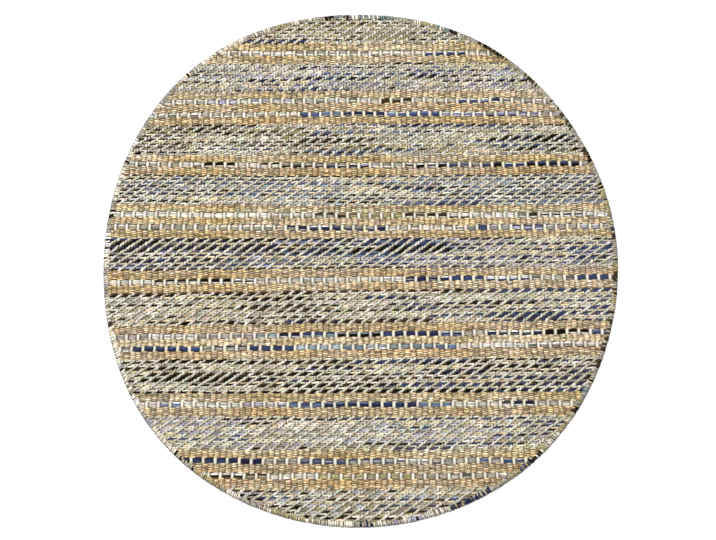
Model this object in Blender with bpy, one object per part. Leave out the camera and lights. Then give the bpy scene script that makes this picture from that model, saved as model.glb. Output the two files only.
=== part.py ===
"""Round jute rug, 1.2 m across.

One flat handwoven cloth, cut round and overcast along its edge. Its weft rows run from
side to side and stand up as low ribs: bands of golden jute with rows of long dashes
between them, and bands of twill in mixed yarns between those groups. The cloth lies flat,
so its underside is one plane. Metres, +Z up, with the origin under the middle.
"""

import math

import bmesh
import bpy

# The cut outline: a circle with a few slow waves, as it was cut by hand.
RADIUS = 0.600
OUTLINE_WAVES = (
    # waves round the edge, cosine share, sine share
    (2, -0.0030, -0.0006),
    (3, 0.0027, 0.0000),
    (4, -0.0040, -0.0002),
    (5, 0.0016, -0.0008),
    (6, 0.0006, 0.0003),
    (7, 0.0002, 0.0008),
)
EDGE_POINTS = 128

# The overcast edge, from the foot over its roll to the cloth's own top.
EDGE_STATIONS = (
    # distance in from the outline, height
    (0.0045, 0.0000),
    (0.0010, 0.0014),
    (0.0000, 0.0038),
    (0.0012, 0.0064),
    (0.0045, 0.0078),
    (0.0082, 0.0072),
    (0.0105, 0.0058),
    (0.0130, 0.0076),
)

# The groups of jute bands, from the far edge to the near one. The rows aren't quite
# straight: each group climbs a little from left to right, and bows at its ends.
GROUPS = (
    # dash rows, middle of the group, distance between its dash rows, climb, bow
    (1, 0.4930, 0.0000, 0.0030, 0.0000),
    (2, 0.3550, 0.0340, 0.0050, -0.0035),
    (1, 0.2110, 0.0000, 0.0020, 0.0035),
    (2, 0.0750, 0.0290, 0.0000, 0.0030),
    (1, -0.0600, 0.0000, 0.0120, -0.0010),
    (2, -0.1990, 0.0280, 0.0120, 0.0000),
    (1, -0.3400, 0.0000, 0.0030, 0.0020),
    (2, -0.4775, 0.0320, 0.0010, 0.0045),
)
CLIMB_SPAN = 0.96
BOW_REACH = 0.48

JUTE_BAND = 0.0190
DASH_ROW = 0.0120
JUTE_ROWS = 4
DASH_STRANDS = 3
TWILL_PICK = 0.00435

# Height of each kind of row at its crest, and in the valley beside it.
RIBS = {
    "jute": (0.0090, 0.0079),
    "dash": (0.0084, 0.0076),
    "twill": (0.0081, 0.0072),
}
# Cuts across the rows, which let them bend.
CROSS_CUTS = (-0.40, -0.15, 0.15, 0.40)

# Colour and roughness of each kind of yarn.
YARNS = {
    "jute": ((0.52, 0.40, 0.24), 0.92),
    "dash": ((0.24, 0.26, 0.31), 0.88),
    "twill": ((0.40, 0.37, 0.30), 0.90),
    "overcast": ((0.30, 0.28, 0.25), 0.90),
}
SLOTS = list(YARNS)


def clear_scene():
    for old in list(bpy.data.objects):
        bpy.data.objects.remove(old, do_unlink=True)


def outline_radius(angle):
    """Distance of the cut edge from the middle, at an angle from +X."""
    return RADIUS + sum(
        cosine * math.cos(waves * angle) + sine * math.sin(waves * angle)
        for waves, cosine, sine in OUTLINE_WAVES
    )


def between(value, stations):
    """Reads (place, amount) stations, listed downwards, with straight lines between them."""
    if value >= stations[0][0]:
        return stations[0][1]
    for (high, first), (low, second) in zip(stations, stations[1:]):
        if value >= low:
            return first + (second - first) * (high - value) / (high - low)
    return stations[-1][1]


def drift(x, row):
    """How far a row stands off its own straight line at x."""
    climb = between(row, [(middle, climb) for _, middle, _, climb, _ in GROUPS])
    bow = between(row, [(middle, bow) for _, middle, _, _, bow in GROUPS])
    return climb * x / CLIMB_SPAN + bow * (x / BOW_REACH) ** 2


def row_through(x, y):
    """The straight place of the row that passes through (x, y)."""
    row = y
    for _ in range(6):
        row = y - drift(x, row)
    return row


def group_bands(dash_rows, middle, apart):
    """(kind, top, bottom) of one group's bands, downwards."""
    half = DASH_ROW / 2
    dashes = [middle + apart / 2, middle - apart / 2] if dash_rows == 2 else [middle]
    edges = [dashes[0] + half + JUTE_BAND]
    for dash in dashes:
        edges += [dash + half, dash - half]
    edges.append(edges[-1] - JUTE_BAND)
    kinds = ["jute", "dash"] * dash_rows + ["jute"]
    return list(zip(kinds, edges, edges[1:]))


def all_bands():
    """(kind, top, bottom) of every band of the cloth, downwards."""
    bands = []
    top = RADIUS
    for dash_rows, middle, apart, _, _ in GROUPS:
        group = group_bands(dash_rows, middle, apart)
        bands.append(("twill", top, group[0][1]))
        bands.extend(group)
        top = group[-1][2]
    bands.append(("twill", top, -RADIUS))
    return bands


def row_count(kind, tall):
    """How many weft rows a band of this height holds."""
    return {"jute": JUTE_ROWS, "dash": DASH_STRANDS}.get(kind) or round(tall / TWILL_PICK)


def rib_stations():
    """(row, height) down the cloth: a valley, a crest, a valley and so on."""
    stations = [(RADIUS, RIBS["twill"][1])]
    for kind, top, bottom in all_bands():
        crest, valley = RIBS[kind]
        rows = row_count(kind, top - bottom)
        pitch = (top - bottom) / rows
        for row in range(rows):
            stations.append((top - (row + 0.5) * pitch, crest))
            stations.append((top - (row + 1) * pitch, valley))
    return stations


def place_ring(verts, inset, height):
    """Moves one ring of points to its distance in from the outline, and its height."""
    for vert in verts:
        angle = math.atan2(vert.co.y, vert.co.x)
        reach = outline_radius(angle) - inset
        vert.co = (reach * math.cos(angle), reach * math.sin(angle), height)


def rolled_disc(bm):
    """The foot and the overcast edge, with a flat face on top, which it returns."""
    made = bmesh.ops.create_circle(bm, cap_ends=True, radius=1.0, segments=EDGE_POINTS)
    loop = made["verts"][0].link_faces[0].edges[:]
    place_ring(made["verts"], *EDGE_STATIONS[0])
    for inset, height in EDGE_STATIONS[1:]:
        grown = bmesh.ops.extrude_edge_only(bm, edges=loop)["geom"]
        verts = {item for item in grown if isinstance(item, bmesh.types.BMVert)}
        edges = [item for item in grown if isinstance(item, bmesh.types.BMEdge)]
        loop = [edge for edge in edges if verts.issuperset(edge.verts)]
        place_ring(verts, inset, height)
    return bmesh.ops.contextual_create(bm, geom=loop)["faces"][0]


def field_parts(bm):
    """The field's faces with their edges and points, as a cut takes them."""
    faces = [face for face in bm.faces if face.material_index != SLOTS.index("overcast")]
    edges = dict.fromkeys(edge for face in faces for edge in face.edges)
    verts = dict.fromkeys(vert for face in faces for vert in face.verts)
    return [*faces, *edges, *verts]


def cut_field(bm, point, normal):
    bmesh.ops.bisect_plane(
        bm, geom=field_parts(bm), plane_co=point, plane_no=normal, dist=1e-7
    )


def rib_field(bm, field):
    """Cuts the field along its rows, while they are straight, then raises and bends them."""
    for vert in field.verts:
        vert.co.y = row_through(vert.co.x, vert.co.y)
    stations = rib_stations()
    for row, _ in stations:
        cut_field(bm, (0, row, 0), (0, 1, 0))
    for x in CROSS_CUTS:
        cut_field(bm, (x, 0, 0), (1, 0, 0))
    for vert in field_parts(bm):
        if isinstance(vert, bmesh.types.BMVert):
            vert.co.z = between(vert.co.y, stations)
            vert.co.y += drift(vert.co.x, vert.co.y)


def colour_bands(bm):
    """Gives each face of the field the yarn of its band."""
    bands = all_bands()
    overcast = SLOTS.index("overcast")
    for face in bm.faces:
        if face.material_index == overcast:
            continue
        middle = face.calc_center_median()
        row = row_through(middle.x, middle.y)
        kind = next((kind for kind, top, low in bands if low <= row <= top), "twill")
        face.material_index = SLOTS.index(kind)


def centre_over_origin(bm):
    """The waves leave the outline a little to one side, so its box is moved back."""
    for axis in (0, 1):
        places = [vert.co[axis] for vert in bm.verts]
        middle = (min(places) + max(places)) / 2
        for vert in bm.verts:
            vert.co[axis] -= middle


def yarn_material(name):
    colour, roughness = YARNS[name]
    material = bpy.data.materials.new(f"{name}_yarn")
    material.use_nodes = True
    shader = material.node_tree.nodes["Principled BSDF"]
    shader.inputs["Base Color"].default_value = (*colour, 1.0)
    shader.inputs["Roughness"].default_value = roughness
    shader.inputs["Metallic"].default_value = 0.0
    return material


def woven_rug(collection):
    bm = bmesh.new()
    field = rolled_disc(bm)
    for face in bm.faces:
        face.material_index = SLOTS.index("overcast")
    field.material_index = SLOTS.index("twill")
    rib_field(bm, field)
    colour_bands(bm)
    centre_over_origin(bm)
    bmesh.ops.recalc_face_normals(bm, faces=bm.faces)
    bmesh.ops.triangulate(bm, faces=bm.faces)
    mesh = bpy.data.meshes.new("woven_rug")
    bm.to_mesh(mesh)
    bm.free()
    for name in SLOTS:
        mesh.materials.append(yarn_material(name))
    rug = bpy.data.objects.new("woven_rug", mesh)
    collection.objects.link(rug)
    return rug


def main():
    clear_scene()
    collection = bpy.data.collections.new("round_jute_rug")
    bpy.context.scene.collection.children.link(collection)
    woven_rug(collection)


main()
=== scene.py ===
"""Looks of the round jute rug: its weave, yarns and overcast edge, with floor, light and camera.

The cloth is built yarn by yarn. Cream warps run away from the viewer, 6.55 mm apart. Across
them run golden jute wefts, two over and two under, rows of long dashes where three coloured
strands share one shed, and bands of twill, three over and one under, which a darker and a
paler shuttle weave in turns. One more yarn is overcast along the cut edge. Metres, +Z up, in
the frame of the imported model.
"""

import math

import bpy
import numpy as np
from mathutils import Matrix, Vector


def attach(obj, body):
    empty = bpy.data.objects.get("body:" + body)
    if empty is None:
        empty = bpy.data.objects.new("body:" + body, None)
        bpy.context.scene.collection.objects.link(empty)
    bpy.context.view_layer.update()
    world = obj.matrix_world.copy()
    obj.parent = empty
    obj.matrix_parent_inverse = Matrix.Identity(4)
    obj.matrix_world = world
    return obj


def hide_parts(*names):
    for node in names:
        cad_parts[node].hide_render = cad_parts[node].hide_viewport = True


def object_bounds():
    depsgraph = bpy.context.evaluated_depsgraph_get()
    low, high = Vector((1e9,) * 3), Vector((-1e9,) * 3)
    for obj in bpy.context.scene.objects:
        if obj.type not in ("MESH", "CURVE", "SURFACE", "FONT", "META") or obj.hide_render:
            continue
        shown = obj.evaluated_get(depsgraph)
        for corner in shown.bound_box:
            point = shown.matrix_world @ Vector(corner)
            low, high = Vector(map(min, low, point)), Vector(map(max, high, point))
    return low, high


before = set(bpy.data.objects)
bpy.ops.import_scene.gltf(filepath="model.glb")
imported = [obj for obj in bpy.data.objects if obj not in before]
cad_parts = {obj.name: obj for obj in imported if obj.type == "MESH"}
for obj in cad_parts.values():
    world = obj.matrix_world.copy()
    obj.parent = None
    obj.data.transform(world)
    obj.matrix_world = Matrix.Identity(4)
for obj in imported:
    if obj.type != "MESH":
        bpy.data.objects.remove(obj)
cad_low, cad_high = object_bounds()

RNG = np.random.default_rng(7)
TURN = 2 * math.pi

# ---------------------------------------------------------------- the rug's own sizes

# The cut outline and the bands, with the same values as the solid.
RADIUS = 0.600
OUTLINE_WAVES = (
    # waves round the edge, cosine share, sine share
    (2, -0.0030, -0.0006),
    (3, 0.0027, 0.0000),
    (4, -0.0040, -0.0002),
    (5, 0.0016, -0.0008),
    (6, 0.0006, 0.0003),
    (7, 0.0002, 0.0008),
)
EDGE_POINTS = 128
GROUPS = (
    # dash rows, middle of the group, distance between its dash rows, climb, bow
    (1, 0.4930, 0.0000, 0.0030, 0.0000),
    (2, 0.3550, 0.0340, 0.0050, -0.0035),
    (1, 0.2110, 0.0000, 0.0020, 0.0035),
    (2, 0.0750, 0.0290, 0.0000, 0.0030),
    (1, -0.0600, 0.0000, 0.0120, -0.0010),
    (2, -0.1990, 0.0280, 0.0120, 0.0000),
    (1, -0.3400, 0.0000, 0.0030, 0.0020),
    (2, -0.4775, 0.0320, 0.0010, 0.0045),
)
CLIMB_SPAN = 0.96
BOW_REACH = 0.48

# Slow waves of the whole cloth, sideways and across its rows.
WANDER_SIDEWAYS = (
    # how far, wavelengths along the warps and along the rows, start
    (0.0009, 0.24, 0.90, 1.0),
    (0.0005, 0.11, -0.37, 4.0),
)
WANDER_ACROSS = (
    (0.0007, 0.33, 0.19, 2.0),
    (0.0004, -0.21, 0.073, 5.0),
)

JUTE_BAND = 0.0190
DASH_ROW = 0.0120
TWILL_PICK = 0.00435
JUTE_PICKS = 8
DASH_STRANDS = 3
DASH_SQUEEZE = 0.0014  # how far the outer strands of a dash are drawn in, most at its ends
DASH_SQUEEZE_SHARE = 1.38  # share of it under a warp, which is one less in a dash's middle

WARP_PITCH = 0.00655
REPEAT = 4  # warps in one repeat of every weave here

WEFTS = {
    # kind: half width, half height, middle of the yarn when over, and when under
    "jute": (0.00222, 0.0018, 0.0072, 0.0019),
    "dash": (0.00195, 0.0017, 0.0069, 0.0018),
    "twill": (0.00200, 0.0017, 0.0064, 0.0018),
}
WEFT_WIDTHS = (0.80, 0.20)  # share of its width that a weft keeps under a warp, and the rest
WEFT_STEPS = {
    # kind: (warps along the repeat, how far up), the first warp lying over the weft
    "jute": ((0.5, 0.05), (1.48, 0.48), (2.10, 1.0), (2.90, 1.0), (3.52, 0.48)),
    "dash": ((0.0, 0.0), (0.62, 0.42), (1.22, 1.0), (2.78, 1.0), (3.38, 0.42)),
    "twill": ((0.05, 0.0), (0.72, 0.36), (1.35, 0.90), (3.00, 1.0), (3.52, 0.62)),
}
TWILL_SLANT = 0.0009  # how far a float rises across the cloth, to each side of its middle
UNEVEN_ALONG = {"jute": 0.0018, "dash": 0.0006, "twill": 0.0016}
UNEVEN_ACROSS = {"jute": 0.0004, "dash": 0.0003, "twill": 0.0007}
UNEVEN_HEIGHT = {"jute": 0.0005, "dash": 0.0002, "twill": 0.0005}
WARP_HALF_WIDTH = 0.0020
WARP_SPOT_HALF_WIDTHS = (0.0035, 0.0029)  # on the rows of the first and the second shuttle
WARP_SPOT_LEAN = 0.0040  # how far a spot's upper end stands right of its lower end
WARP_SPOT_LEANS = (0.35, 0.30, 0.40, 0.80, 1.00, 1.00, 1.00, 1.00, 1.00)  # share in each band
SPOT_LEAN_SHARES = (0.4, 1.4)  # and from spot to spot, as is the width's share below
SPOT_WIDTH_SHARES = (0.70, 1.30)
WARP_SPOT_TONES = (0.60, 1.00)  # a spot's brightness against a bar's, at random from spot to spot
WARP_SPOT_TINT = (1.0, 1.1, 1.5)  # powers for red, green and blue, as dim spots are warmer
SPOT_UNEVEN = (0.0013, 0.0008, 0.0004)  # sideways, along the warp, and down
WARP_BAR_HALF_WIDTH = 0.0038
BAR_END = 0.45  # share of a dash row's height, from its middle to a bar's end
BAR_FOOT = 0.72  # and to where the warp is back in the middle of the cloth
BAR_TONE = 0.90
WARP_OUTSIDE = 0.85  # picks past a band of twill, where a warp is back in the middle of the cloth
WARP_HALF_HEIGHT = 0.0014
WARP_OVER = 0.0068
WARP_MIDDLE = 0.0045
WARP_UNDER = 0.0024
WARP_PARTS = 4  # pieces that share the warps, from left to right

SIDES = 5  # sides of a yarn's section
LOWEST = 0.0001  # the yarns are pressed flat where they lie on the floor
# Painted shade: brightness of the yarns' colour in the middle of the cloth, against its faces,
# standing for the shade deep in the weave.
PAINTED_DEEP_SHADE = {"jute": 0.16, "mixed": 0.26}
PAINTED_SHADE_REACH = 0.0040
PAINTED_SHADE_POWER = 1.6
# Powers for red, green and blue of the painted shade, which make it warmer.
PAINTED_SHADE_TINT = {"jute": (1.0, 1.18, 1.55), "mixed": (1.0, 1.04, 1.12)}
SLUB = {"jute": 0.16, "dash": 0.10, "twill": 0.14, "warp": 0.12, "edge": 0.25}
SLUB_RINGS = 3  # rings of a yarn from one knot of its thickness to the next
ROW_JITTER = 0.00028
REACH_SAMPLES = 2401  # places that are tried along a row or a warp to find its ends
FEWEST_SAMPLES = 20  # a yarn that is inside the stitches at fewer of them is left out
FEWEST_RINGS = 4

# The overcast edge: one yarn wound round it.
STITCH_PITCH = 0.0050
STITCH_HALF_WIDTH = 0.0023
STITCH_HALF_HEIGHT = 0.0013
# Painted shade along each stitch: darkest round the rim's outer side, and darker where the stitch
# goes into the cloth.
STITCH_STEPS = (
    # share of a stitch along the edge, distance in from the outline, height, brightness (painted
    # shade)
    (0.00, 0.0122, 0.0046, 0.75),
    (0.10, 0.0108, 0.0074, 1.00),
    (0.24, 0.0068, 0.0082, 1.00),
    (0.36, 0.0032, 0.0070, 0.68),
    (0.46, 0.0012, 0.0042, 0.42),
    (0.58, 0.0036, 0.0018, 0.55),
    (0.74, 0.0075, 0.0015, 0.90),
    (0.90, 0.0112, 0.0022, 0.90),
)
STITCH_RUNS = (2, 12)  # fewest stitches of one pair of yarns, and one more than the most
STITCH_SECOND = 0.3  # how often a stitch takes the second yarn of its pair
STITCH_LEAN = 0.35  # these two are shares of a stitch
STITCH_SLIP = 0.12
STITCH_DEPTHS = (0.70, 1.35)  # how far a stitch reaches in, against its steps
STITCH_BULGE = 0.0004
FIELD_INSET = 0.0050  # where the wefts and warps end, under the stitches
PINCH_FROM = 0.0200  # the stitches draw the cloth thinner from here outwards
PINCH_SHARE = 0.62
CLOTH_MIDDLE = 0.0042

GROUND_PROFILE = (
    # distance in from the outline, height, from the top's flat round the edge to the underside's
    (0.0160, 0.0049),
    (0.0110, 0.0058),
    (0.0070, 0.0064),
    (0.0036, 0.0058),
    (0.0020, 0.0040),
    (0.0036, 0.0024),
    (0.0070, 0.0020),
    (0.0110, 0.0026),
    (0.0160, 0.0036),
)
GROUND_RINGS = (0.90, 0.75, 0.55, 0.35, 0.16)

# ---------------------------------------------------------------- yarn colours, linear

YARNS = {
    "black": (0.013, 0.009, 0.005),
    "brown": (0.060, 0.038, 0.020),
    "purple": (0.050, 0.034, 0.070),
    "navy": (0.024, 0.031, 0.080),
    "denim": (0.056, 0.082, 0.180),
    "blue": (0.165, 0.215, 0.360),
    "sky": (0.440, 0.520, 0.590),
    "ice": (0.640, 0.680, 0.720),
    "teal": (0.240, 0.300, 0.300),
    "grey": (0.460, 0.420, 0.345),
    "pale_grey": (0.820, 0.770, 0.635),
    "lilac": (0.500, 0.480, 0.590),
    "olive": (0.430, 0.370, 0.200),
    "beige": (0.880, 0.750, 0.490),
    "cream": (0.960, 0.915, 0.745),
    "white": (0.950, 0.935, 0.890),
}
JUTE_TONES = (
    (0.970, 0.820, 0.570),
    (0.900, 0.710, 0.440),
    (0.975, 0.890, 0.720),
    (0.850, 0.665, 0.440),
    (0.965, 0.785, 0.490),
)
JUTE_RICHER = (0.04, 0.22, 0.80)  # powers of the richer lengths for red, green and blue
WARP_TONES = (
    (0.940, 0.910, 0.830),
    (0.900, 0.860, 0.760),
    (0.950, 0.930, 0.880),
)

# How uneven the colours are. A spread lies to each side of one, and a pair is lowest and highest.
CHANNEL_TINT = (-0.05, 0.05)
LENGTH_SPREAD = {"jute": 0.10, "dash": 0.15, "twill": 0.18, "warp": 0.06, "edge": 0.20}
FLOAT_SPREAD = {"dash": 0.24, "twill": 0.30}
FLOATS = 200  # floats of a yarn before their differences come again
COLOUR_SHARES = (0.76, 0.14, 0.10)  # how often a float takes each of its length's three colours
DASH_BLENDS = ((1.0, 0.0), (0.65, 0.35), (0.25, 0.75))  # those three, from own and second yarn
MIXED_RINGS = (0.80, 1.16)
MIXED_CHANNELS = (0.94, 1.06)
WARP_RINGS = (0.92, 1.04)
JUTE_CHANNELS = (0.95, 1.05)
JUTE_SLOW = (0.84, 1.12, 40)  # the last number is how many places along the row have their own
JUTE_GOLD = (0.60, 1.12, 14)
JUTE_FLOATS = (1.07, 0.60, 2.2)  # highest, drop to the lowest, and the power that keeps it rare
JUTE_RINGS = (1.14, 0.50, 2)


def share_of(**shares):
    """Yarn names with their shares, which then sum to one."""
    names = list(shares)
    amounts = np.array([shares[name] for name in names], float)
    return names, amounts / amounts.sum()


# What each band of twill is woven from, from the far edge to the near one: the order in which
# its two shuttles weave, the darker yarns towards the left and towards the right, the paler
# yarns, and the darker yarns' share at the left, in the middle and at the right, for shuttle a
# and for shuttle b.
TWILL_BANDS = (
    (
        "ab",
        share_of(brown=4, olive=6, black=2, denim=1, grey=2),
        share_of(brown=4, olive=6, black=3, grey=2),
        share_of(beige=6, pale_grey=3, grey=2, cream=1, lilac=1, olive=1),
        ((0.80, 0.90, 0.85), (0.15, 0.20, 0.20)),
    ),
    (
        "ab",
        share_of(black=4, grey=3, denim=6, navy=2, lilac=2),
        share_of(black=8, grey=3, denim=3, lilac=2, blue=1, olive=1),
        share_of(pale_grey=4, ice=2, lilac=2, grey=2, cream=3, beige=3),
        ((0.62, 0.72, 0.62), (0.14, 0.20, 0.16)),
    ),
    (
        "ab",
        share_of(black=7, olive=4, brown=4, grey=1),
        share_of(black=4, navy=2, denim=3, olive=2, blue=2, grey=2),
        share_of(grey=1, pale_grey=4, olive=1, cream=4, beige=2),
        ((0.80, 0.76, 0.66), (0.22, 0.24, 0.18)),
    ),
    (
        "ab",
        share_of(black=6, navy=2, denim=2, blue=2),
        share_of(black=2, navy=3, denim=4, blue=3, lilac=1),
        share_of(pale_grey=3, cream=4, ice=2, sky=1, grey=1, beige=3),
        ((0.82, 0.62, 0.76), (0.18, 0.12, 0.20)),
    ),
    (
        "aabab",
        share_of(navy=6, black=4, purple=1, denim=4, blue=1, brown=2),
        share_of(navy=3, black=3, denim=4, blue=2, lilac=2),
        share_of(grey=2, lilac=1, pale_grey=3, cream=4, beige=4),
        ((0.95, 0.80, 0.75), (0.18, 0.14, 0.14)),
    ),
    (
        "aab",
        share_of(black=6, brown=4, olive=2, grey=2),
        share_of(navy=4, denim=6, black=2, purple=1, lilac=1),
        share_of(cream=4, pale_grey=4, beige=3, grey=1),
        ((0.52, 0.58, 0.66), (0.06, 0.08, 0.12)),
    ),
    (
        "baa",
        share_of(black=9, brown=4),
        share_of(black=4, navy=4, denim=4, purple=1),
        share_of(cream=5, beige=3, pale_grey=3, grey=1),
        ((0.68, 0.78, 0.70), (0.12, 0.14, 0.12)),
    ),
    (
        "ba",
        share_of(denim=2, black=2, lilac=4, grey=5, blue=1),
        share_of(navy=2, black=3, lilac=3, grey=3, denim=3),
        share_of(pale_grey=4, beige=4, ice=2, lilac=1, grey=1, cream=4),
        ((0.62, 0.50, 0.85), (0.04, 0.04, 0.10)),
    ),
    (
        "baa",
        share_of(grey=2, black=6, lilac=1, denim=3, brown=1),
        share_of(grey=3, black=6, lilac=2, denim=1, brown=2),
        share_of(pale_grey=3, ice=1, cream=3, olive=2, lilac=2, beige=3),
        ((0.70, 0.62, 0.70), (0.16, 0.16, 0.20)),
    ),
)
TWILL_RUNS = (0.090, 0.280)  # the shortest and longest length of one yarn

# The yarns in the left, middle and right third of each row of dashes, far to near.
DASH_ROWS = (
    ("grey lilac pale_grey", "white pale_grey grey", "olive grey denim pale_grey"),
    ("lilac grey pale_grey", "olive brown pale_grey grey", "pale_grey white denim grey"),
    ("grey brown pale_grey", "blue navy denim teal", "denim navy grey lilac"),
    ("grey black pale_grey", "grey lilac black navy", "black navy denim grey"),
    ("cream white pale_grey", "grey brown olive pale_grey", "black brown grey white"),
    ("olive black grey", "pale_grey denim grey navy", "denim grey lilac teal"),
    ("black grey pale_grey", "grey pale_grey navy", "navy denim grey white"),
    ("teal grey white", "black navy denim teal", "black navy blue grey"),
    ("denim navy grey", "blue teal sky", "white pale_grey black grey"),
    ("blue lilac grey pale_grey", "navy denim blue grey", "navy grey lilac pale_grey"),
    ("black denim navy", "denim grey purple", "navy denim blue grey"),
    ("black olive brown", "pale_grey grey olive", "grey denim black"),
)
DASH_RUNS = (0.030, 0.120)  # the shortest and longest length of one set of strands
DASH_PATTERNS = ("aaa", "aab", "baa", "waa", "aaw", "wab", "aaa")  # its strands; w is white
THIRD = 0.38  # width of a third of the rug

# The overcast yarn's mixes.
EDGE_DARK = share_of(black=3, brown=4, navy=0.5, grey=5, olive=4, teal=1)
EDGE_PALE = share_of(cream=3, pale_grey=4, grey=5, lilac=2, white=0.5, black=1)
EDGE_MIXED = share_of(grey=7, cream=1, navy=0.2, olive=5, black=1.5, pale_grey=3, teal=0.8)
EDGE_BLUE = share_of(grey=5, navy=2, black=3, denim=1.5, pale_grey=2, olive=1)
EDGE_SECTORS = (
    # from this angle, in degrees from +X and anticlockwise: the mix
    (-72, EDGE_BLUE),
    (-38, EDGE_DARK),
    (60, EDGE_MIXED),
    (110, EDGE_PALE),
    (225, EDGE_MIXED),
    (270, EDGE_PALE),
)


# ---------------------------------------------------------------- where things lie


def outline_radius(angle):
    """Distance of the cut edge from the middle, at an angle from +X."""
    return RADIUS + sum(
        cosine * np.cos(waves * angle) + sine * np.sin(waves * angle)
        for waves, cosine, sine in OUTLINE_WAVES
    )


def outline_centre():
    """The middle of the outline's box, which the solid has over its origin."""
    angle = np.arange(EDGE_POINTS) * TURN / EDGE_POINTS
    reach = outline_radius(angle)
    x = reach * np.cos(angle)
    y = reach * np.sin(angle)
    return (x.min() + x.max()) / 2, (y.min() + y.max()) / 2


CENTRE = outline_centre()


def inset_of(x, y):
    """How far inside the outline a point lies, along the line to the middle."""
    return outline_radius(np.arctan2(y, x)) - np.hypot(x, y)


def drift(x, row):
    """How far a row stands off its own straight line at x."""
    middles = [group[1] for group in GROUPS][::-1]
    climb = np.interp(row, middles, [group[3] for group in GROUPS][::-1])
    bow = np.interp(row, middles, [group[4] for group in GROUPS][::-1])
    return climb * x / CLIMB_SPAN + bow * (x / BOW_REACH) ** 2


def wander(x, y, waves):
    """The cloth's slow unevenness, the same for warps and wefts, so that they stay woven."""
    return sum(
        size * np.sin(TURN * (y / along_warps + x / along_rows) + start)
        for size, along_warps, along_rows, start in waves
    )


def lay(x, row, z):
    """Points of the cloth, from their places in the loom to where they lie on the floor."""
    y = row + drift(x, row)
    inset = inset_of(x, y)
    pinch = np.interp(inset, (FIELD_INSET, PINCH_FROM), (PINCH_SHARE, 1.0))
    dx = wander(x, y, WANDER_SIDEWAYS)
    dy = wander(x, y, WANDER_ACROSS)
    height = CLOTH_MIDDLE + (z - CLOTH_MIDDLE) * pinch
    return np.stack([x + dx - CENTRE[0], y + dy - CENTRE[1], height], axis=1)


def group_bands(dash_rows, middle, apart):
    """(kind, top, bottom) of one group's bands, downwards."""
    half = DASH_ROW / 2
    dashes = [middle + apart / 2, middle - apart / 2] if dash_rows == 2 else [middle]
    edges = [dashes[0] + half + JUTE_BAND]
    for dash in dashes:
        edges += [dash + half, dash - half]
    edges.append(edges[-1] - JUTE_BAND)
    kinds = ["jute", "dash"] * dash_rows + ["jute"]
    return list(zip(kinds, edges, edges[1:]))


def all_picks():
    """Every weft of the cloth, downwards: band, kind, row, number in its band, and phase."""
    picks = []
    top = RADIUS
    for band, (dash_rows, middle, apart, _, _) in enumerate(GROUPS):
        group = group_bands(dash_rows, middle, apart)
        picks += band_picks(band, "twill", top, group[0][1])
        dashes = 0
        for kind, high, low in group:
            picks += band_picks(band, kind, high, low, dashes)
            dashes += kind == "dash"
        top = group[-1][2]
    return picks + band_picks(len(GROUPS), "twill", top, -RADIUS)


def band_picks(band, kind, high, low, dashes=0):
    """The wefts of one band. The phase is the warp of the repeat that lies over the weft."""
    count = {"jute": JUTE_PICKS, "dash": DASH_STRANDS}.get(kind)
    count = count or round((high - low) / TWILL_PICK)
    pitch = (high - low) / count
    picks = []
    for number in range(count):
        row = high - (number + 0.5) * pitch + RNG.uniform(-ROW_JITTER, ROW_JITTER)
        up = count - 1 - number
        phase = {"jute": 2 * number, "dash": 2 * dashes, "twill": up + band}[kind]
        picks.append((band, kind, row, number, phase % REPEAT))
    return picks


def reach_along(fixed, along_x):
    """The stretch of a row, or of a warp, that lies inside the stitches."""
    line = np.linspace(-RADIUS, RADIUS, REACH_SAMPLES)
    if along_x:
        inset = inset_of(line, fixed + drift(line, fixed))
    else:
        inset = inset_of(np.full_like(line, fixed), line)
    inside = line[inset > FIELD_INSET]
    return (inside[0], inside[-1]) if len(inside) > FEWEST_SAMPLES else None


def slubs(kind, count):
    """A yarn's thickness along its length, smooth and near one."""
    knots = RNG.uniform(1 - SLUB[kind], 1 + SLUB[kind], count // SLUB_RINGS + 3)
    return np.interp(np.arange(count) / SLUB_RINGS, np.arange(len(knots)), knots)


# ---------------------------------------------------------------- yarns as meshes

# Layout of the bake map. A lane is one row of it, from its left side to its right.
LANE_START = 0.004
LANE_LENGTH = 0.98
LANE_GAP = 0.08  # all heights here are shares of a lane's height
LANE_HEIGHT = 0.84
CAP_PLACE = 0.992  # the faces at the yarns' ends lie past the lanes
CAP_HALF_WIDTH = 0.004
CAP_HALF_HEIGHT = 0.2
CAP_HEIGHTS = (0.25, 0.75)  # for a yarn's start and for its end
STRIP = 0.40  # metres of yarn in one lane
EDGE_STRIP = 0.35


def ring_quads(start, count):
    """The faces between one yarn's rings."""
    here = start + np.arange(count - 1)[:, None] * SIDES
    side = np.arange(SIDES)[None, :]
    after = (side + 1) % SIDES
    corners = [here + side, here + after, here + SIDES + after, here + SIDES + side]
    return np.stack(corners, axis=2).reshape(-1, 4)


def ring_caps(start, count):
    """The two faces that close one yarn's ends."""
    first = list(range(start, start + SIDES))
    return [first[::-1], [corner + (count - 1) * SIDES for corner in first]]


def round_yarn(count):
    """How far round the yarn the corners of its faces lie, from 0 to 1."""
    low = np.arange(SIDES) / SIDES
    corners = np.stack([low, low + 1 / SIDES, low + 1 / SIDES, low], axis=1)
    return np.repeat(corners[None], count - 1, axis=0)


def strand_places(length):
    """Metres along the yarn, and how far round it, for the corners of its faces."""
    along = np.stack([length[:-1], length[:-1], length[1:], length[1:]], axis=1)
    along = np.repeat(along[:, None], SIDES, axis=1)
    return np.stack([along, round_yarn(len(length))], axis=3).reshape(-1, 2)


def lane_count(length, strip):
    return max(1, round(length[-1] / strip))


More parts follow.
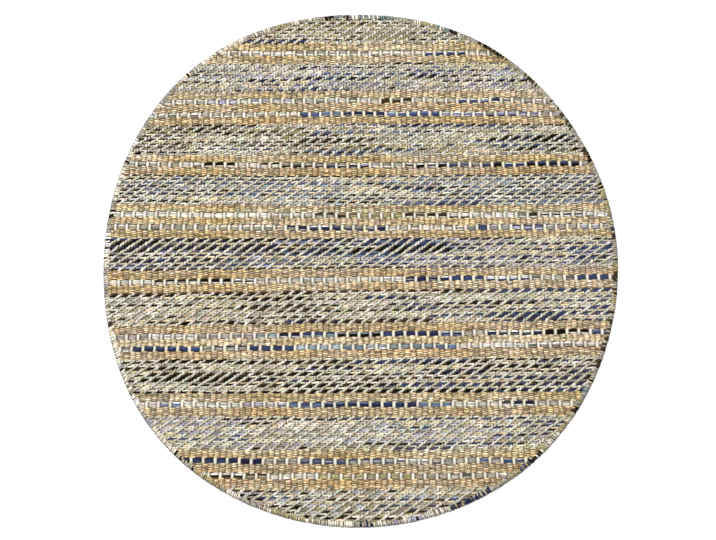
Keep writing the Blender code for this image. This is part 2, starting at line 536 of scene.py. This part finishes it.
def lane_places(count, lane, strips, lanes):
    """Places in the bake map of one yarn's faces, which fill one lane for each of its strips."""
    per_lane = math.ceil((count - 1) / strips)
    which = np.arange(count - 1) // per_lane
    left = (np.arange(count - 1) - which * per_lane) / per_lane
    right = left + 1 / per_lane
    across = np.stack([left, left, right, right], axis=1)
    across = np.repeat(across[:, None], SIDES, axis=1) * LANE_LENGTH + LANE_START
    height = lane + which[:, None, None] + LANE_GAP + round_yarn(count) * LANE_HEIGHT
    return np.stack([across, height / lanes], axis=3).reshape(-1, 2)


def cap_places(lane, strips, lanes):
    """Places in the bake map of the corners of one yarn's two ends."""
    turn = np.arange(SIDES) * TURN / SIDES
    across = CAP_PLACE + CAP_HALF_WIDTH * np.cos(turn)
    found = []
    for end in (0, strips - 1):
        middle = (lane + end + CAP_HEIGHTS[end > 0]) / lanes
        height = middle + CAP_HALF_HEIGHT / lanes * np.sin(turn)
        found.append(np.stack([across, height], axis=1))
    return found


class Yarns:
    """Many yarns gathered into one mesh, with their colours and painted shade, and their two UV
    maps.
    """

    def __init__(self, fibres="mixed"):
        self.yarns = []
        self.painted_deep_shade = PAINTED_DEEP_SHADE[fibres]
        self.painted_shade_warmth = PAINTED_SHADE_TINT[fibres]

    def add(self, points, half_width, half_height, colours, side=None):
        """One yarn, with a ring of corners round each of its points."""
        tangent = np.gradient(points, axis=0)
        tangent /= np.linalg.norm(tangent, axis=1, keepdims=True)
        if side is None:
            side = np.cross((0.0, 0.0, 1.0), tangent)
        side = side - tangent * np.sum(side * tangent, axis=1, keepdims=True)
        side /= np.linalg.norm(side, axis=1, keepdims=True)
        up = np.cross(tangent, side)
        turn = math.pi / 2 + np.arange(SIDES) * TURN / SIDES
        ring = (
            points[:, None]
            + side[:, None] * (np.cos(turn)[None, :, None] * half_width[:, None, None])
            + up[:, None] * (np.sin(turn)[None, :, None] * half_height[:, None, None])
        )
        ring[:, :, 2] = np.maximum(ring[:, :, 2], LOWEST)
        steps = np.linalg.norm(np.diff(points, axis=0), axis=1)
        length = np.concatenate([[0], np.cumsum(steps)])
        # Painted shade: the colours darken towards the middle of the cloth, away from both its
        # faces.
        depth = np.clip(np.abs(ring[:, :, 2] - CLOTH_MIDDLE) / PAINTED_SHADE_REACH, 0, 1)
        shade = self.painted_deep_shade + (1 - self.painted_deep_shade) * depth**PAINTED_SHADE_POWER
        colours_with_painted_shade = colours[:, None] * shade[:, :, None] ** self.painted_shade_warmth
        self.yarns.append((ring, colours_with_painted_shade, length))

    def mesh(self, name, strip=STRIP):
        """One mesh, whose bake map gives each strip of yarn a lane of its own."""
        lanes = sum(lane_count(length, strip) for _, _, length in self.yarns)
        quads, caps, strand, bake, cap_bake = [], [], [], [], []
        start = lane = 0
        for ring, _, length in self.yarns:
            count = len(ring)
            strips = lane_count(length, strip)
            quads.append(ring_quads(start, count))
            caps += ring_caps(start, count)
            strand.append(strand_places(length))
            bake.append(lane_places(count, lane, strips, lanes))
            cap_bake += cap_places(lane, strips, lanes)
            start += count * SIDES
            lane += strips
        verts = np.concatenate([ring.reshape(-1, 3) for ring, _, _ in self.yarns])
        colours = np.concatenate([colour.reshape(-1, 3) for _, colour, _ in self.yarns])
        mesh = bpy.data.meshes.new(name)
        mesh.from_pydata(verts.tolist(), [], np.concatenate(quads).tolist() + caps)
        mesh.shade_smooth()
        paint(mesh, colours)
        uv_map(mesh, "strand", np.concatenate(strand + [np.zeros((len(caps) * SIDES, 2))]))
        uv_map(mesh, "OFBake", np.concatenate(bake + cap_bake))
        return mesh


def paint(mesh, colours):
    # These colours carry painted shade as well as the yarns' own colours.
    layer = mesh.color_attributes.new("colour_and_painted_shade", "FLOAT_COLOR", "POINT")
    filled = np.concatenate([colours, np.ones((len(colours), 1))], axis=1)
    layer.data.foreach_set("color", filled.astype(np.float32).ravel())


def uv_map(mesh, name, places):
    layer = mesh.uv_layers.new(name=name)
    layer.uv.foreach_set("vector", places.astype(np.float32).ravel())


def place(name, mesh, material):
    """Puts a piece of the rug on its body, with its material."""
    piece = bpy.data.objects.new(name, mesh)
    bpy.context.scene.collection.objects.link(piece)
    mesh.materials.append(material)
    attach(piece, "root")
    return piece


# ---------------------------------------------------------------- colours along the yarns


def tinted(colour, spread):
    """A colour, with a little of the difference that one length of yarn has from the next."""
    brighter = 1 + RNG.uniform(-spread, spread)
    return np.array(colour) * brighter * (1 + RNG.uniform(*CHANNEL_TINT, 3))


def mostly_bright(highest, drop, power, count):
    """Brightness that is mostly near its highest, and now and then much lower."""
    return highest - drop * RNG.random(count) ** power


def shuttle_of(band, number):
    """The shuttle, 0 or 1, that weaves one row of a band of twill."""
    order = TWILL_BANDS[band][0]
    return "ab".index(order[number % len(order)])


def twill_runs(band, shuttle):
    """(start, colours that its floats take) of the lengths of yarn along one row of twill."""
    _, dark_left, dark_right, pale, dark_shares = TWILL_BANDS[band]
    start = -RADIUS - RNG.uniform(0, TWILL_RUNS[1])
    found = []
    while start < RADIUS:
        length = RNG.uniform(*TWILL_RUNS)
        middle = start + length / 2
        share = np.interp(middle, (-THIRD, 0.0, THIRD), dark_shares[shuttle])
        dark = dark_left if RNG.uniform(-THIRD, THIRD) > middle else dark_right
        names, amounts = dark if RNG.random() < share else pale
        chosen = RNG.choice(names, len(COLOUR_SHARES), p=amounts)
        found.append((start, [tinted(YARNS[name], LENGTH_SPREAD["twill"]) for name in chosen]))
        start += length
    return found


def dash_runs(thirds):
    """(start, colours that its floats take) along each of the three strands of a dash row."""
    strands = [[] for _ in range(DASH_STRANDS)]
    start = -RADIUS - RNG.uniform(0, DASH_RUNS[1])
    while start < RADIUS:
        length = RNG.uniform(*DASH_RUNS)
        third = int(np.clip((start + length / 2) / THIRD + 1.5, 0, 2))
        first, second = RNG.choice(thirds[third].split(), 2, replace=False)
        yarn_of = {"a": YARNS[first], "b": YARNS[second], "w": YARNS["white"]}
        other = np.array(YARNS[second])
        for strand, letter in zip(strands, RNG.choice(DASH_PATTERNS)):
            own = np.array(yarn_of[letter])
            blends = [own * mine + other * its for mine, its in DASH_BLENDS]
            strand.append((start, [tinted(blend, LENGTH_SPREAD["dash"]) for blend in blends]))
        start += length
    return strands


def jute_colours(gold):
    """Colours along one jute yarn, which changes a little as it goes, more golden by places."""
    tone = tinted(JUTE_TONES[RNG.integers(len(JUTE_TONES))], LENGTH_SPREAD["jute"])
    knots = RNG.uniform(*JUTE_SLOW)
    differences = mostly_bright(*JUTE_FLOATS, FLOATS)

    def colours_at(x, float_number):
        slow = np.interp(x, np.linspace(-RADIUS, RADIUS, len(knots)), knots)
        uneven = slow * differences[float_number % FLOATS]
        uneven = uneven * mostly_bright(*JUTE_RINGS, len(x))
        richer = np.interp(x, np.linspace(-RADIUS, RADIUS, len(gold)), gold)[:, None]
        richer = richer ** np.array(JUTE_RICHER)
        return tone * richer * uneven[:, None] * RNG.uniform(*JUTE_CHANNELS, (len(x), 3))

    return colours_at


def mixed_colours(found, kind):
    """Colours along a mixed yarn: its runs, and the differences from float to float."""
    spread = FLOAT_SPREAD[kind]
    starts = [start for start, _ in found]
    colours = np.array([colours for _, colours in found])
    shades = RNG.uniform(1 - spread, 1 + spread, FLOATS)
    chosen = RNG.choice(len(COLOUR_SHARES), FLOATS, p=COLOUR_SHARES)

    def colours_at(x, float_number):
        middle = (float_number + 0.5) * REPEAT * WARP_PITCH
        run = np.clip(np.searchsorted(starts, middle, side="right") - 1, 0, len(found) - 1)
        uneven = shades[float_number % FLOATS] * RNG.uniform(*MIXED_RINGS, len(x))
        own = colours[run, chosen[float_number % FLOATS]]
        return own * uneven[:, None] * RNG.uniform(*MIXED_CHANNELS, (len(x), 3))

    return colours_at


# ---------------------------------------------------------------- wefts


def weft_stations(kind, phase, left, right):
    """x, how far up, float number and place along the float, from -1 to 1, of a weft's rings."""
    steps = WEFT_STEPS[kind]
    first = math.floor(left / WARP_PITCH / REPEAT) - 1
    last = math.ceil(right / WARP_PITCH / REPEAT) + 1
    rings = np.array(
        [
            ((repeat * REPEAT + phase + warps) * WARP_PITCH, high, repeat, warps * 2 / REPEAT - 1)
            for repeat in range(first, last + 1)
            for warps, high in steps
        ]
    )
    x, up, float_number, along = rings[(rings[:, 0] > left) & (rings[:, 0] < right)].T
    return x, up, float_number.astype(int), along


def add_weft(yarns, kind, row, phase, colours_at, squeezed=0.0):
    """One weft. The warps squeeze it towards its neighbours by as much, where they cross it."""
    reach = reach_along(row, True)
    if reach is None:
        return
    x, up, float_number, along = weft_stations(kind, phase, *reach)
    if len(x) < FEWEST_RINGS:
        return
    half_width, half_height, over, under = WEFTS[kind]
    thick = slubs(kind, len(x))
    x = x + RNG.uniform(-1, 1, len(x)) * UNEVEN_ALONG[kind]
    slant = TWILL_SLANT * 2 * along * up if kind == "twill" else 0.0
    rows = row + squeezed * (DASH_SQUEEZE_SHARE - up) + slant
    rows = rows + RNG.uniform(-1, 1, len(x)) * UNEVEN_ACROSS[kind]
    z = under + (over - under) * up + RNG.uniform(-1, 1, len(x)) * UNEVEN_HEIGHT[kind]
    points = lay(x, rows, z)
    wide = half_width * thick * (WEFT_WIDTHS[0] + WEFT_WIDTHS[1] * up)
    yarns.add(points, wide, half_height * thick, colours_at(x, float_number))


def weave_twill(band, picks, material):
    """One piece, with the wefts of one band of twill."""
    twill = Yarns()
    for _, kind, row, number, phase in (pick for pick in picks if pick[0] == band):
        if kind == "twill":
            found = twill_runs(band, shuttle_of(band, number))
            add_weft(twill, kind, row, phase, mixed_colours(found, kind))
    name = f"twill_band_{band + 1}"
    return place(name, twill.mesh(name), material)


def weave_group(band, picks, rows_of_dashes, materials):
    """Two pieces, with the jute wefts and the dashes of one group."""
    jute = Yarns("jute")
    dashes = Yarns()
    gold = RNG.uniform(*JUTE_GOLD)
    for _, kind, row, number, phase in (pick for pick in picks if pick[0] == band):
        if kind == "jute":
            add_weft(jute, kind, row, phase, jute_colours(gold))
        if kind == "dash" and number == 0:
            strands = dash_runs(next(rows_of_dashes))
        if kind == "dash":
            colours_at = mixed_colours(strands[number], kind)
            add_weft(dashes, kind, row, phase, colours_at, DASH_SQUEEZE * (number - 1))
    jute_name = f"jute_group_{band + 1}"
    dash_name = f"dash_rows_{band + 1}"
    return [
        place(jute_name, jute.mesh(jute_name), materials["jute"]),
        place(dash_name, dashes.mesh(dash_name), materials["mixed"]),
    ]


def weave_wefts(picks, materials):
    pieces = [weave_twill(band, picks, materials["mixed"]) for band in range(len(TWILL_BANDS))]
    rows_of_dashes = iter(DASH_ROWS)
    for band in range(len(GROUPS)):
        pieces += weave_group(band, picks, rows_of_dashes, materials)
    return pieces


# ---------------------------------------------------------------- warps


def twill_stations(warp, band, rows):
    """Down one band of twill, from its (row, phase) picks: over one weft and under three."""
    half = TWILL_PICK / 2
    outside = WARP_OUTSIDE * TWILL_PICK
    stations = [(rows[0][0] + outside, 0, WARP_MIDDLE, WARP_HALF_WIDTH, 1)]
    since = 0
    for number, (row, phase) in enumerate(rows):
        since += 1
        if warp % REPEAT == phase:
            lean = WARP_SPOT_LEAN / 2 * WARP_SPOT_LEANS[band] * RNG.uniform(*SPOT_LEAN_SHARES)
            aside, up, sunk = RNG.uniform(-1, 1, 3) * SPOT_UNEVEN
            wide = WARP_SPOT_HALF_WIDTHS[shuttle_of(band, number)]
            wide = wide * RNG.uniform(*SPOT_WIDTH_SHARES)
            tone = RNG.uniform(*WARP_SPOT_TONES)
            height = WARP_OVER - abs(sunk)
            stations.append((row + half + up, aside + lean, height, wide, tone))
            stations.append((row - half + up, aside - lean, height, wide, tone))
            since = 0
        elif since == 1:
            stations.append((row, 0, WARP_UNDER, WARP_HALF_WIDTH, 1))
    return [*stations, (rows[-1][0] - outside, 0, WARP_MIDDLE, WARP_HALF_WIDTH, 1)]


def dash_stations(warp, middle, phase):
    """Across one row of dashes: a bar over all its strands, or under them."""
    over = warp % REPEAT == phase
    height = WARP_OVER if over else WARP_UNDER
    wide = WARP_BAR_HALF_WIDTH if over else WARP_HALF_WIDTH
    return [
        (middle + BAR_FOOT * DASH_ROW, 0, WARP_MIDDLE, WARP_HALF_WIDTH, 1),
        (middle + BAR_END * DASH_ROW, 0, height, wide, BAR_TONE),
        (middle - BAR_END * DASH_ROW, 0, height, wide, BAR_TONE),
        (middle - BAR_FOOT * DASH_ROW, 0, WARP_MIDDLE, WARP_HALF_WIDTH, 1),
    ]


def warp_stations(warp, picks):
    """(row, sideways, height, half width, tone) down one warp, over and under the wefts."""
    twill, dashes = {}, {}
    for band, kind, row, _, phase in picks:
        if kind == "twill":
            twill.setdefault(band, []).append((row, phase))
        if kind == "dash":
            dashes.setdefault((band, phase), []).append(row)
    stations = []
    for band, rows in twill.items():
        stations += twill_stations(warp, band, rows)
    for (_, phase), rows in dashes.items():
        stations += dash_stations(warp, sum(rows) / len(rows), phase)
    return sorted(stations)


def add_warp(yarns, warp, picks):
    """One warp, from where the stitches end at the far edge to where they start again."""
    x = warp * WARP_PITCH
    reach = reach_along(x, False)
    if reach is None:
        return
    stations = np.array([s for s in warp_stations(warp, picks) if reach[0] < s[0] < reach[1]])
    if len(stations) < FEWEST_RINGS:
        return
    row, aside, z, wide, shade = stations.T
    thick = slubs("warp", len(row))
    points = lay(x + aside, row, z)
    tone = tinted(WARP_TONES[RNG.integers(len(WARP_TONES))], LENGTH_SPREAD["warp"])
    shade = shade[:, None] ** np.array(WARP_SPOT_TINT)
    colours = tone * shade * RNG.uniform(*WARP_RINGS, len(row))[:, None]
    yarns.add(points, wide * thick, WARP_HALF_HEIGHT * thick, colours)


def weave_warps(picks, material):
    count = math.ceil(RADIUS / WARP_PITCH)
    parts = [Yarns() for _ in range(WARP_PARTS)]
    for warp in range(-count, count + 1):
        part = int((warp + count) / (2 * count + 1) * WARP_PARTS)
        add_warp(parts[part], warp, picks)
    names = [f"warps_{part + 1}" for part in range(WARP_PARTS)]
    return [place(name, yarns.mesh(name), material) for name, yarns in zip(names, parts)]


# ---------------------------------------------------------------- edge and ground


def edge_mix(angle):
    """The mix of yarns that the edge is overcast with, at an angle from +X."""
    first = EDGE_SECTORS[0][0]
    degrees = (math.degrees(angle) - first) % 360 + first
    return [mix for start, mix in EDGE_SECTORS if degrees >= start][-1]


def overcast_edge(material):
    """One yarn wound round the cut edge, its stitches leaning a little."""
    stitches = round(TURN * RADIUS / STITCH_PITCH)
    deepest = STITCH_STEPS[0][1]
    angle, inset, height, colours = [], [], [], []
    left = 0
    for stitch in range(stitches):
        if left == 0:
            left = RNG.integers(*STITCH_RUNS)
            names, shares = edge_mix(TURN * stitch / stitches)
            strands = [YARNS[name] for name in RNG.choice(names, 2, p=shares)]
        left -= 1
        colour = tinted(strands[int(RNG.random() < STITCH_SECOND)], LENGTH_SPREAD["edge"])
        lean = RNG.uniform(-STITCH_LEAN, STITCH_LEAN)
        slip = RNG.uniform(-STITCH_SLIP, STITCH_SLIP)
        deep = RNG.uniform(*STITCH_DEPTHS)
        bulge = RNG.uniform(-STITCH_BULGE, STITCH_BULGE)
        for share, into, high, shade in STITCH_STEPS:
            out = min(1.0, into / deepest)
            angle.append(TURN * (stitch + share + slip + lean * out) / stitches)
            inset.append(into * (1 + (deep - 1) * out) + bulge)
            height.append(high)
            # Painted shade: the step's brightness darkens the stitch round the rim's outer side
            # and where it goes into the cloth.
            colours.append(colour * shade)
    angle, inset = np.array(angle), np.array(inset)
    reach = outline_radius(angle) - inset
    points = np.stack(
        [reach * np.cos(angle) - CENTRE[0], reach * np.sin(angle) - CENTRE[1], height], axis=1
    )
    side = np.stack([np.sin(angle), -np.cos(angle), np.zeros_like(angle)], axis=1)
    thick = slubs("edge", len(points))
    wide, high = STITCH_HALF_WIDTH * thick, STITCH_HALF_HEIGHT * thick
    yarns = Yarns()
    yarns.add(points, wide, high, np.array(colours), side)
    return place("overcast_edge", yarns.mesh("overcast_edge", EDGE_STRIP), material)


def ground_cloth(material):
    """The heart of the cloth between its two faces, thicker where its cut edge is rolled."""
    count = 2 * EDGE_POINTS
    angle = np.arange(count) * TURN / count
    reach = outline_radius(angle)
    rings = [(reach - inset, height) for inset, height in GROUND_PROFILE]
    top = [(reach * share, GROUND_PROFILE[0][1]) for share in GROUND_RINGS]
    under = [(reach * share, GROUND_PROFILE[-1][1]) for share in GROUND_RINGS]
    rings = top[::-1] + rings + under
    verts = [
        (r * math.cos(a) - CENTRE[0], r * math.sin(a) - CENTRE[1], height)
        for distances, height in rings
        for r, a in zip(distances, angle)
    ]
    faces = [
        (ring * count + i, (ring + 1) * count + i, (ring + 1) * count + j, ring * count + j)
        for ring in range(len(rings) - 1)
        for i, j in zip(range(count), [*range(1, count), 0])
    ]
    faces.append(tuple(range(count)))
    faces.append(tuple(reversed(range((len(rings) - 1) * count, len(rings) * count))))
    mesh = bpy.data.meshes.new("rug_ground")
    mesh.from_pydata(verts, [], faces)
    mesh.shade_smooth()
    return place("rug_ground", mesh, material)


# ---------------------------------------------------------------- materials

YARN_LOOKS = {
    # plies, length of one turn of a ply, how dark the painted shade in the groove between the
    # plies is, mottle of the fibres, flecks, heather, roughness, sheen
    "jute": (2, 0.009, 0.50, 0.20, 0.36, 0.10, 0.80, 0.06),
    "mixed": (2, 0.008, 0.28, 0.18, 0.30, 0.01, 0.90, 0.00),
    "warp": (3, 0.006, 0.14, 0.06, 0.05, 0.00, 0.88, 0.05),
}
GROOVE_EDGE = 0.3  # where the groove ends on the plies' wave, which goes from -1 to 1
FIBRES_ON_STRAND = (420.0, 9.0, 1.0)  # how fine the fibres are along a yarn and round it
FIBRES_IN_CLOTH = (160.0, 160.0, 160.0)  # and how fast they change from one yarn to the next
FIBRES = {"Scale": 1.0, "Detail": 3.0, "Roughness": 0.6}
FLECKS = {"Scale": 260.0, "Detail": 2.0, "Roughness": 0.6}
DRIFTS = {"Scale": 28.0, "Detail": 2.0}
SPECKS = {"Scale": 420.0, "Detail": 2.0, "Roughness": 0.7}
CLOUDS = {"Scale": 3.0, "Detail": 3.0}
NOISE_REACH = 0.20  # how far from a half a noise mostly keeps
FLECKS_REACH = 0.18
SPECKS_FROM, SPECKS_FULL = 0.52, 0.70
DRIFT_SPREAD = 0.08
HEATHER_COLOUR = (0.34, 0.30, 0.22, 1.0)
YARN_ROUGHNESS_SPREAD = 0.06
YARN_SPECULAR = 0.05
SHEEN_ROUGHNESS = 0.5
BUMP_STRENGTH = 0.8
YARN_BUMP = 0.0004
YARN_BUMP_SHARES = (0.7, 0.5)  # of the plies and of the fibres
GROUND_BUMP = 0.0005
GROUND_FIBRES = (90.0, 900.0, 500.0)
# Painted shade: the ground's dark browns stand for the shade in the gaps between the yarns.
GROUND_SHADE_COLOURS = ((0.10, 0.07, 0.04, 1.0), (0.22, 0.16, 0.09, 1.0))
GROUND_BLEND = (0.35, 0.65)  # noise where the first colour ends, and where the second is full
GROUND_ROUGHNESS = (0.91, 0.05)  # middle and spread
FLOOR_COLOURS = ((0.90, 0.90, 0.90, 1.0), (0.92, 0.92, 0.92, 1.0))
FLOOR_ROUGHNESS = 0.9
FLOOR_SPECULAR = 0.1


class Nodes:
    """A short way to write a material's nodes."""

    def __init__(self, name):
        self.material = bpy.data.materials.new(name)
        self.material.use_nodes = True
        self.tree = self.material.node_tree
        self.shader = self.tree.nodes["Principled BSDF"]

    def add(self, kind, settings=(), **inputs):
        """A node with its settings, and with what its inputs by these names are fed."""
        node = self.tree.nodes.new(kind)
        for key, value in dict(settings).items():
            setattr(node, key, value)
        for key, value in inputs.items():
            self.feed(node.inputs[key], value)
        return node

    def feed(self, socket, value):
        if isinstance(value, bpy.types.NodeSocket):
            self.tree.links.new(value, socket)
        else:
            socket.default_value = value

    def operate(self, kind, operation, values):
        """The result of a node that works on its first inputs, in their order."""
        node = self.tree.nodes.new(kind)
        node.operation = operation
        for socket, value in zip(node.inputs, values):
            self.feed(socket, value)
        return node.outputs[0]

    def math(self, operation, *values):
        return self.operate("ShaderNodeMath", operation, values)

    def vector(self, operation, *values):
        return self.operate("ShaderNodeVectorMath", operation, values)

    def times(self, colour, factor):
        node = self.tree.nodes.new("ShaderNodeVectorMath")
        node.operation = "SCALE"
        self.feed(node.inputs[0], colour)
        self.feed(node.inputs["Scale"], factor)
        return node.outputs[0]

    def ramp(self, value, low, high, out_low, out_high):
        node = self.tree.nodes.new("ShaderNodeMapRange")
        node.clamp = True
        for socket, amount in zip(node.inputs, (value, low, high, out_low, out_high)):
            self.feed(socket, amount)
        return node.outputs[0]

    def near(self, value, middle, spread, reach=NOISE_REACH):
        """Turns a noise that mostly keeps within its reach of a half into numbers near another."""
        return self.ramp(value, 0.5 - reach, 0.5 + reach, middle - spread, middle + spread)

    def noise(self, place_in, look):
        return self.add("ShaderNodeTexNoise", Vector=place_in, **look).outputs[0]

    def blend(self, factor, first, second):
        """Blends two colours. Their sockets come after those for numbers and for vectors."""
        node = self.add("ShaderNodeMix", {"data_type": "RGBA"})
        for number, value in ((0, factor), (6, first), (7, second)):
            self.feed(node.inputs[number], value)
        return node.outputs[2]

    def raise_by(self, height, depth):
        """Bump on the shader's normal."""
        bump = self.add("ShaderNodeBump", Strength=BUMP_STRENGTH, Distance=depth, Height=height)
        self.feed(self.shader.inputs["Normal"], bump.outputs[0])

    def place_in(self):
        return self.add("ShaderNodeTexCoord").outputs["Object"]


def yarn_material(name, plies, lay_length, painted_groove_shade, mottle, flecks, heather, roughness, sheen):
    """Spun yarn: plies that wind round each other, with painted shade in the grooves between them,
    loose fibres, flecks and uneven colour.
    """
    n = Nodes(name)
    colour = n.add("ShaderNodeAttribute", {"attribute_name": "colour_and_painted_shade"}).outputs["Color"]
    strand = n.add("ShaderNodeUVMap", {"uv_map": "strand"}).outputs["UV"]
    along, round_it, _ = n.add("ShaderNodeSeparateXYZ", Vector=strand).outputs
    place_in = n.place_in()

    turns = n.math("ADD", n.math("MULTIPLY", along, 1 / lay_length), round_it)
    wave = n.math("SINE", n.math("MULTIPLY", turns, TURN * plies))
    ply = n.ramp(wave, -1.0, GROOVE_EDGE, 0.0, 1.0)

    on_strand = n.vector("MULTIPLY", strand, FIBRES_ON_STRAND)
    in_cloth = n.vector("MULTIPLY", place_in, FIBRES_IN_CLOTH)
    fibres = n.noise(n.vector("ADD", on_strand, in_cloth), FIBRES)

    # Painted shade: the colour darkens in the groove between the plies.
    shade = n.ramp(ply, 0.0, 1.0, 1.0 - painted_groove_shade, 1.0)
    shade = n.math("MULTIPLY", shade, n.near(fibres, 1.0, mottle))
    shade = n.math("MULTIPLY", shade, n.near(n.noise(place_in, DRIFTS), 1.0, DRIFT_SPREAD))
    flecked = n.near(n.noise(place_in, FLECKS), 1.0, flecks, FLECKS_REACH)
    shade = n.math("MULTIPLY", shade, flecked)
    specks = n.ramp(n.noise(place_in, SPECKS), SPECKS_FROM, SPECKS_FULL, 0.0, heather)
    speckled = n.blend(specks, n.times(colour, shade), HEATHER_COLOUR)
    n.feed(n.shader.inputs["Base Color"], speckled)

    n.feed(n.shader.inputs["Roughness"], n.near(fibres, roughness, YARN_ROUGHNESS_SPREAD))
    n.shader.inputs["Specular IOR Level"].default_value = YARN_SPECULAR
    n.shader.inputs["Sheen Weight"].default_value = sheen
    n.shader.inputs["Sheen Roughness"].default_value = SHEEN_ROUGHNESS

    plies_high = n.math("MULTIPLY", ply, YARN_BUMP_SHARES[0])
    fibres_high = n.math("MULTIPLY", fibres, YARN_BUMP_SHARES[1])
    n.raise_by(n.math("ADD", plies_high, fibres_high), YARN_BUMP)
    return n.material


def ground_shade_material():
    """Fibres between the cloth's two faces, seen only in the gaps between the yarns; their dark
    colour is painted shade.
    """
    n = Nodes("ground_painted_shade")
    fibres = n.noise(n.vector("MULTIPLY", n.place_in(), GROUND_FIBRES), FIBRES)
    tint = n.blend(n.ramp(fibres, *GROUND_BLEND, 0.0, 1.0), *GROUND_SHADE_COLOURS)
    n.feed(n.shader.inputs["Base Color"], tint)
    n.feed(n.shader.inputs["Roughness"], n.near(fibres, *GROUND_ROUGHNESS))
    n.raise_by(fibres, GROUND_BUMP)
    return n.material


def floor_material():
    """A pale painted studio floor."""
    n = Nodes("pale_floor")
    tint = n.blend(n.noise(n.place_in(), CLOUDS), *FLOOR_COLOURS)
    n.feed(n.shader.inputs["Base Color"], tint)
    n.shader.inputs["Roughness"].default_value = FLOOR_ROUGHNESS
    n.shader.inputs["Specular IOR Level"].default_value = FLOOR_SPECULAR
    return n.material


# ---------------------------------------------------------------- the studio

CAMERA_LENS = 28.0
CAMERA_SENSOR = 36.0
CAMERA_TILT = math.radians(8.0)  # from straight down
CAMERA_DISTANCE = 1.2773
CAMERA_AIM = (-0.0020, -0.0383)  # in the outline's own places
CAMERA_AIM_HEIGHT = 0.0080
FLOOR_SIDE = 14.0
FLOOR_GAP = 0.0002  # the floor lies this far below the rug
SKY_COLOUR = (1.0, 1.0, 1.0, 1.0)
SKY_STRENGTH = 0.56
KEY_PLACE = (-1.6, 2.2, 5.6)
KEY_POWER = 375.0
KEY_SIZE = 2.2


def camera():
    data = bpy.data.cameras.new("camera")
    data.lens = CAMERA_LENS
    data.sensor_width = CAMERA_SENSOR
    cam = bpy.data.objects.new("camera", data)
    bpy.context.scene.collection.objects.link(cam)
    cam.location = (
        CAMERA_AIM[0] - CENTRE[0],
        CAMERA_AIM[1] - CENTRE[1] - CAMERA_DISTANCE * math.sin(CAMERA_TILT),
        CAMERA_AIM_HEIGHT + CAMERA_DISTANCE * math.cos(CAMERA_TILT),
    )
    cam.rotation_euler = (CAMERA_TILT, 0.0, 0.0)
    bpy.context.scene.camera = cam


def floor(material):
    half = FLOOR_SIDE / 2
    mesh = bpy.data.meshes.new("floor")
    mesh.from_pydata(
        [(-half, -half, 0), (half, -half, 0), (half, half, 0), (-half, half, 0)],
        [],
        [(0, 1, 2, 3)],
    )
    mesh.materials.append(material)
    plane = bpy.data.objects.new("floor", mesh)
    bpy.context.scene.collection.objects.link(plane)
    plane.location.z = cad_low.z - FLOOR_GAP


def light(name, location, power, size):
    """A square lamp that faces the middle of the rug."""
    data = bpy.data.lights.new(name, "AREA")
    data.energy = power
    data.size = size
    lamp = bpy.data.objects.new(name, data)
    bpy.context.scene.collection.objects.link(lamp)
    lamp.location = location
    lamp.rotation_euler = lamp.location.to_track_quat("Z", "Y").to_euler()


def studio():
    camera()
    floor(floor_material())
    world = bpy.data.worlds.new("studio")
    bpy.context.scene.world = world
    world.use_nodes = True
    sky = world.node_tree.nodes["Background"]
    sky.inputs["Color"].default_value = SKY_COLOUR
    sky.inputs["Strength"].default_value = SKY_STRENGTH
    light("key_light", KEY_PLACE, KEY_POWER, KEY_SIZE)
    bpy.context.scene.view_settings.view_transform = "Standard"


# ---------------------------------------------------------------- the rug


def rug():
    materials = {kind: yarn_material(f"{kind}_yarn", *look) for kind, look in YARN_LOOKS.items()}
    picks = all_picks()
    pieces = weave_wefts(picks, materials)
    pieces += weave_warps(picks, materials["warp"])
    pieces.append(overcast_edge(materials["mixed"]))
    ground = ground_cloth(ground_shade_material())
    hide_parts("woven_rug")


def write_sizes():
    bpy.context.view_layer.update()


studio()
rug()
write_sizes()
